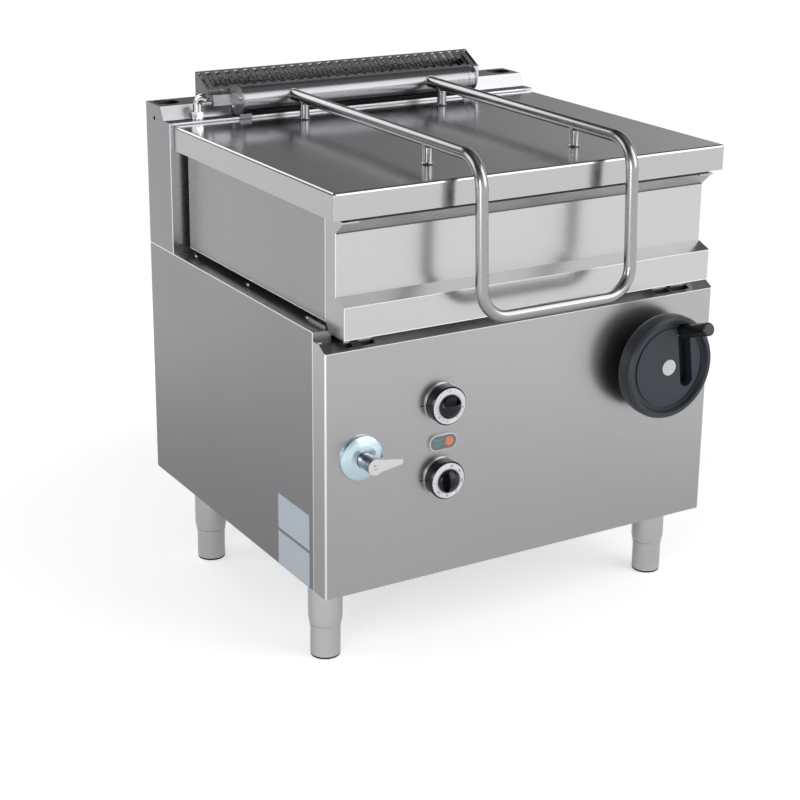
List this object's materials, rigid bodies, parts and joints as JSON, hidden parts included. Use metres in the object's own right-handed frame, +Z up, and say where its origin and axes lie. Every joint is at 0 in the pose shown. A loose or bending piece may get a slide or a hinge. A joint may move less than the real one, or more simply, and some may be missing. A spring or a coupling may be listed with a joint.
{
  "type": "tilting bratt pan",
  "caption": "Floor-standing tilting bratt pan on legs, with a deep pan under a hinged lid, a hand-wheel tilting drive, a water spout and front controls.",
  "frame": {"origin": "centre of the bounding box at floor level", "axes": "+Z up from the floor; -Y is the front with the controls and the pouring lip; +X is to the right as seen from the front"},
  "size_m": [0.8, 0.8224, 0.927],
  "materials": {
    "panel_steel": "brushed stainless steel sheet",
    "pan_steel": "brushed stainless steel",
    "lid_steel": "polished stainless steel",
    "handle_steel": "polished stainless steel tube",
    "inner_steel": "plain steel",
    "gear_steel": "machined steel",
    "leg_steel": "brushed stainless steel",
    "bronze": "machined bronze",
    "element_sheath": "heat-tinted sheath",
    "mineral_wool": "mineral wool slab",
    "copper_pipe": "copper pipe",
    "chrome_trim": "polished chrome",
    "black_plastic": "satin black",
    "wheel_plastic": "satin dark grey",
    "cap_plastic": "pale grey",
    "switch_plastic": "moulded",
    "gear_plastic": "moulded",
    "seal_rubber": "matt",
    "spring_steel": "oiled spring steel",
    "green_lens": "clear tinted",
    "amber_lens": "clear tinted",
    "lamp_body": "clear grey"
  },
  "bodies": {
    "cabinet": {"left_side_panel": "panel_steel", "right_side_panel": "panel_steel", "front_panel": "panel_steel", "back_panel": "panel_steel", "bottom_panel": "panel_steel", "rear_cross_rail": "panel_steel", "rear_riser": "panel_steel", "flue_grille": "panel_steel", "leg_sleeves": "leg_steel", "trunnion_brackets": "inner_steel", "bronze_bushes": "bronze", "gearbox_frame": "inner_steel", "knob_bezels": "chrome_trim", "rotary_switch": "switch_plastic", "thermostat": "switch_plastic", "lamp_housing": "lamp_body", "lens_green": "green_lens", "lens_amber": "amber_lens", "tap_escutcheon": "chrome_trim", "tap_valve": "bronze", "water_pipes": "copper_pipe", "spout": "chrome_trim", "control_gear": "gear_plastic", "cable_gland": "black_plastic", "panel_screws": "chrome_trim"},
    "pan": {"vessel": "pan_steel", "casing_front": "pan_steel", "casing_panels": "pan_steel", "bottom_cover": "inner_steel", "heating_elements": "element_sheath", "pan_insulation": "mineral_wool", "thermostat_bulb": "copper_pipe", "trunnion_pins": "inner_steel", "tilt_lug": "inner_steel", "hinge_stands": "pan_steel", "hinge_shaft": "gear_steel", "spring_anchor": "pan_steel", "balance_spring": "spring_steel"},
    "lid": {"lid_skin": "lid_steel", "lid_inner_skin": "pan_steel", "lid_insulation": "mineral_wool", "lid_seal": "seal_rubber", "lid_handle": "handle_steel", "hinge_tube": "handle_steel"},
    "worm_wheel_crank": {"worm_wheel": "bronze", "crank": "gear_steel"},
    "tie_link": {"tie_link": "gear_steel"},
    "handwheel": {"handwheel": "wheel_plastic", "hub_cap": "cap_plastic", "worm_shaft": "gear_steel", "worm": "gear_steel"},
    "grip_arm": {"grip_bracket": "gear_steel"},
    "wheel_grip": {"grip": "black_plastic"},
    "upper_knob": {"upper_knob": "black_plastic"},
    "lower_knob": {"lower_knob": "black_plastic"},
    "tap_lever": {"tap_lever": "chrome_trim"},
    "foot_front_left": {"foot_front_left": "leg_steel"},
    "foot_front_right": {"foot_front_right": "leg_steel"},
    "foot_rear_left": {"foot_rear_left": "leg_steel"},
    "foot_rear_right": {"foot_rear_right": "leg_steel"}
  },
  "joints": [
    {"name": "pan_tilt", "type": "hinge", "parent": "cabinet", "child": "pan", "pos_m": [0, -0.27677, 0.62], "axis": [1, 0, 0], "range_deg": [0, 80]},
    {"name": "worm_wheel_turn", "type": "hinge", "parent": "cabinet", "child": "worm_wheel_crank", "pos_m": [0.266, -0.23877, 0.516], "axis": [1, 0, 0], "range_deg": [0, 80]},
    {"name": "tie_link_swing", "type": "hinge", "parent": "pan", "child": "tie_link", "pos_m": [0.251, -0.1828, 0.5858], "axis": [1, 0, 0], "range_deg": [-80, 0]},
    {"name": "handwheel_turn", "type": "hinge", "parent": "cabinet", "child": "handwheel", "pos_m": [0.266, -0.28477, 0.466], "axis": [0, 1, 0], "range_deg": [0, 2880]},
    {"name": "grip_fold", "type": "hinge", "parent": "handwheel", "child": "grip_arm", "pos_m": [0.29673, -0.32477, 0.52444], "axis": [0.9917, 0, 0.1288], "range_deg": [0, 109]},
    {"name": "grip_spin", "type": "hinge", "parent": "grip_arm", "child": "wheel_grip", "pos_m": [0.29673, -0.32477, 0.52444], "axis": [-0.0419, -0.9455, 0.3229], "continuous": true},
    {"name": "lid_hinge", "type": "hinge", "parent": "pan", "child": "lid", "pos_m": [0, 0.31523, 0.885], "axis": [-1, 0, 0], "range_deg": [0, 80], "stiffness_Nm_per_rad": 50, "springref_deg": 80.21},
    {"name": "upper_knob_turn", "type": "hinge", "parent": "cabinet", "child": "upper_knob", "pos_m": [-0.175, -0.28477, 0.462], "axis": [0, 1, 0], "range_deg": [0, 90]},
    {"name": "lower_knob_turn", "type": "hinge", "parent": "cabinet", "child": "lower_knob", "pos_m": [-0.175, -0.28477, 0.328], "axis": [0, 1, 0], "range_deg": [0, 270]},
    {"name": "tap_lever_turn", "type": "hinge", "parent": "cabinet", "child": "tap_lever", "pos_m": [-0.333, -0.28477, 0.393], "axis": [0, 1, 0], "range_deg": [0, 90]},
    {"name": "foot_front_left_slide", "type": "slide", "parent": "cabinet", "child": "foot_front_left", "axis": [0, 0, -1], "range_m": [0, 0.045]},
    {"name": "foot_rear_left_slide", "type": "slide", "parent": "cabinet", "child": "foot_rear_left", "axis": [0, 0, -1], "range_m": [0, 0.045]},
    {"name": "foot_front_right_slide", "type": "slide", "parent": "cabinet", "child": "foot_front_right", "axis": [0, 0, -1], "range_m": [0, 0.045]},
    {"name": "foot_rear_right_slide", "type": "slide", "parent": "cabinet", "child": "foot_rear_right", "axis": [0, 0, -1], "range_m": [0, 0.045]}
  ],
  "couplings": [
    {"joint": "worm_wheel_turn", "follows": "pan_tilt", "ratio": 1},
    {"joint": "tie_link_swing", "follows": "pan_tilt", "ratio": -1},
    {"joint": "handwheel_turn", "follows": "pan_tilt", "ratio": 36}
  ]
}
